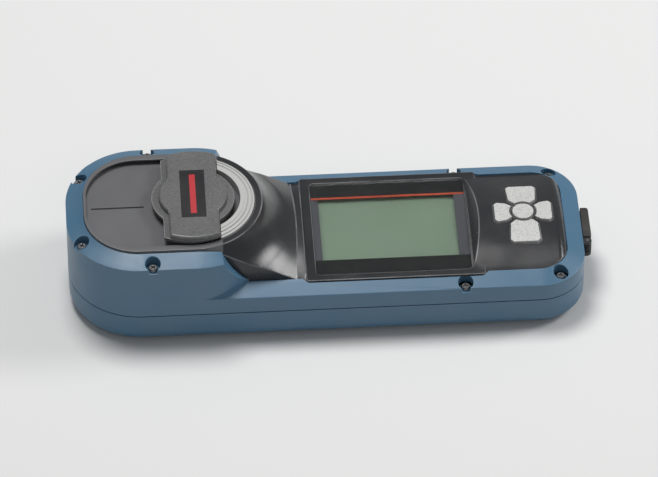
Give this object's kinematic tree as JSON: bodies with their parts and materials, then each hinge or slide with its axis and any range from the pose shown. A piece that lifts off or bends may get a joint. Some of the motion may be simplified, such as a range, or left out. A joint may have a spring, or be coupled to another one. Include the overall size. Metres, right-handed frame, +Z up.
{
  "type": "portable photometer",
  "caption": "Hand-held photometer: rounded case with raised measuring head, sliding light shield over a vial well, flat display, cross keypad and hinged socket cover.",
  "frame": {"origin": "under the middle of the whole instrument's box, on the plane its feet stand on", "axes": "+X from the measuring head along the instrument to the keypad, +Y to the far long side, +Z up out of the display"},
  "size_m": [0.267, 0.088, 0.062],
  "materials": {
    "blue_shell": "fine satin texture, mid blue",
    "dark_grey": "satin, dark grey",
    "mid_grey": "fine speckle, mid grey",
    "light_grey": "satin, light grey",
    "key_grey": "fine speckle, pale grey",
    "black_plastic": "matte black",
    "bezel_black": "black print",
    "label_red": "red print",
    "lcd": "green-grey reflective display, blank",
    "light_guide": "white diffuser",
    "window": "clear",
    "clear_glass": "clear",
    "board": "green solder mask",
    "brass_post": "turned",
    "steel": "plain zinc-plated steel",
    "cell_sleeve": "plain dark sleeve",
    "seal_rubber": "soft, matte",
    "cover_rubber": "firm, matte"
  },
  "bodies": {
    "body": {"bottom_housing": "blue_shell", "top_housing": "blue_shell", "housing_gasket": "seal_rubber", "case_screws": "steel", "fascia": "dark_grey", "sample_well": "black_plastic", "optical_block": "black_plastic", "well_windows": "clear_glass", "emitter_board": "board", "detector_board": "board", "well_seal": "seal_rubber", "well_ring": "light_grey", "display_window": "window", "display_mask": "bezel_black", "lcd_panel": "lcd", "lcd_backlight": "light_guide", "lcd_frame": "black_plastic", "display_gasket": "seal_rubber", "main_board": "board", "keypad_board": "board", "board_posts": "brass_post", "key_switches": "black_plastic", "board_chips": "black_plastic", "battery_tray": "black_plastic", "battery_cells": "cell_sleeve", "contact_plates": "steel", "contact_springs": "steel", "battery_door": "blue_shell", "door_screws": "steel", "base_feet": "seal_rubber", "port_socket": "steel", "port_pin": "steel", "cover_ears": "black_plastic"},
    "light_shield": {"light_shield": "mid_grey", "shield_skirt": "dark_grey", "shield_seal": "seal_rubber", "shield_runners": "black_plastic", "shield_screws": "steel", "shield_label": "bezel_black", "label_stripe": "label_red", "detent_ball": "steel", "detent_spring": "seal_rubber"},
    "port_cover": {"port_cover": "cover_rubber"},
    "key_up": {"key_up": "key_grey"},
    "key_down": {"key_down": "key_grey"},
    "key_left": {"key_left": "key_grey"},
    "key_right": {"key_right": "key_grey"},
    "key_ok": {"key_ok": "key_grey"}
  },
  "joints": [
    {"name": "shield_slide", "type": "slide", "parent": "body", "child": "light_shield", "axis": [-1, 0, 0], "range_m": [0, 0.035]},
    {"name": "cover_hinge", "type": "hinge", "parent": "body", "child": "port_cover", "pos_m": [0.1313, -0.0126, 0.0251], "axis": [0, 0, -1], "range_deg": [0, 100]},
    {"name": "key_up_press", "type": "slide", "parent": "body", "child": "key_up", "axis": [0, 0, -1], "range_m": [0, 0.0008], "stiffness_N_per_m": 300, "springref_m": -0.0005},
    {"name": "key_down_press", "type": "slide", "parent": "body", "child": "key_down", "axis": [0, 0, -1], "range_m": [0, 0.0008], "stiffness_N_per_m": 300, "springref_m": -0.0005},
    {"name": "key_left_press", "type": "slide", "parent": "body", "child": "key_left", "axis": [0, 0, -1], "range_m": [0, 0.0008], "stiffness_N_per_m": 300, "springref_m": -0.0005},
    {"name": "key_right_press", "type": "slide", "parent": "body", "child": "key_right", "axis": [0, 0, -1], "range_m": [0, 0.0008], "stiffness_N_per_m": 300, "springref_m": -0.0005},
    {"name": "key_ok_press", "type": "slide", "parent": "body", "child": "key_ok", "axis": [0, 0, -1], "range_m": [0, 0.0008], "stiffness_N_per_m": 300, "springref_m": -0.0005}
  ]
}
